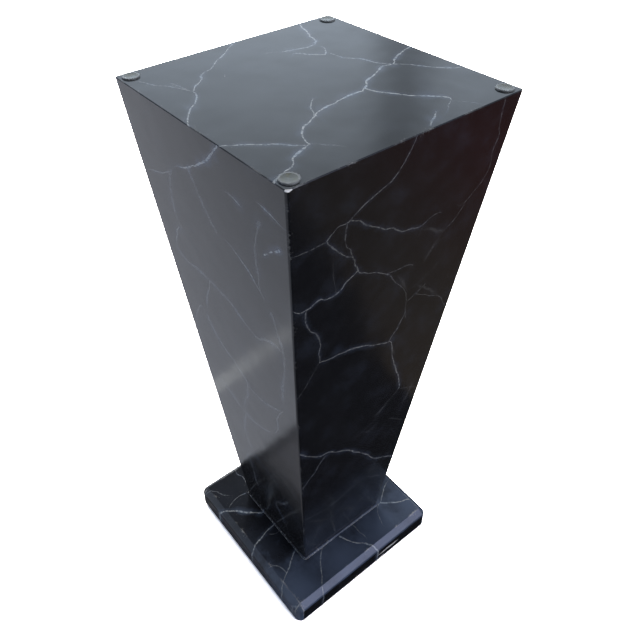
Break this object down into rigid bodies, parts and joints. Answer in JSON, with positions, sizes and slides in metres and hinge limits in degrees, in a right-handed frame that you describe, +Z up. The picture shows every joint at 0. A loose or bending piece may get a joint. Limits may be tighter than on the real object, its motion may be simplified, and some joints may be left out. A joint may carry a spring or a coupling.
{
  "type": "pedestal table base",
  "caption": "Square pedestal table base in black marbled lacquer: hollow column tapering down to a bevelled base plate, with clear bumpers for a loose top.",
  "frame": {"origin": "on the floor, under the centre of the base plate", "axes": "+Z up along the column's axis, -Y front, +X right; the four sides are alike"},
  "size_m": [0.2918, 0.2918, 0.7635],
  "materials": {
    "marbled_lacquer": "black faux marble with grey-white veins under semi-gloss lacquer",
    "raw_board": "unpainted fibreboard",
    "raw_softwood": "unpainted softwood",
    "clear_plastic": "clear soft plastic, slightly yellowed",
    "felt": "dense dark felt",
    "zinc_steel": "zinc-plated",
    "filler": "painted filler bead, grey-white"
  },
  "bodies": {
    "root": {"base_plate": "marbled_lacquer", "foot_board": "raw_board", "foot_screws": "zinc_steel", "foot_bead": "filler", "top_board": "marbled_lacquer", "top_nails": "zinc_steel", "side_panel_front": "marbled_lacquer", "top_cleat_front": "raw_softwood", "side_panel_right": "marbled_lacquer", "top_cleat_right": "raw_softwood", "side_panel_back": "marbled_lacquer", "top_cleat_back": "raw_softwood", "side_panel_left": "marbled_lacquer", "top_cleat_left": "raw_softwood", "corner_block_front_left": "raw_softwood", "bumper_front_left": "clear_plastic", "felt_pad_front_left": "felt", "corner_block_front_right": "raw_softwood", "bumper_front_right": "clear_plastic", "felt_pad_front_right": "felt", "corner_block_back_right": "raw_softwood", "bumper_back_right": "clear_plastic", "felt_pad_back_right": "felt", "corner_block_back_left": "raw_softwood", "bumper_back_left": "clear_plastic", "felt_pad_back_left": "felt"}
  },
  "joints": []
}
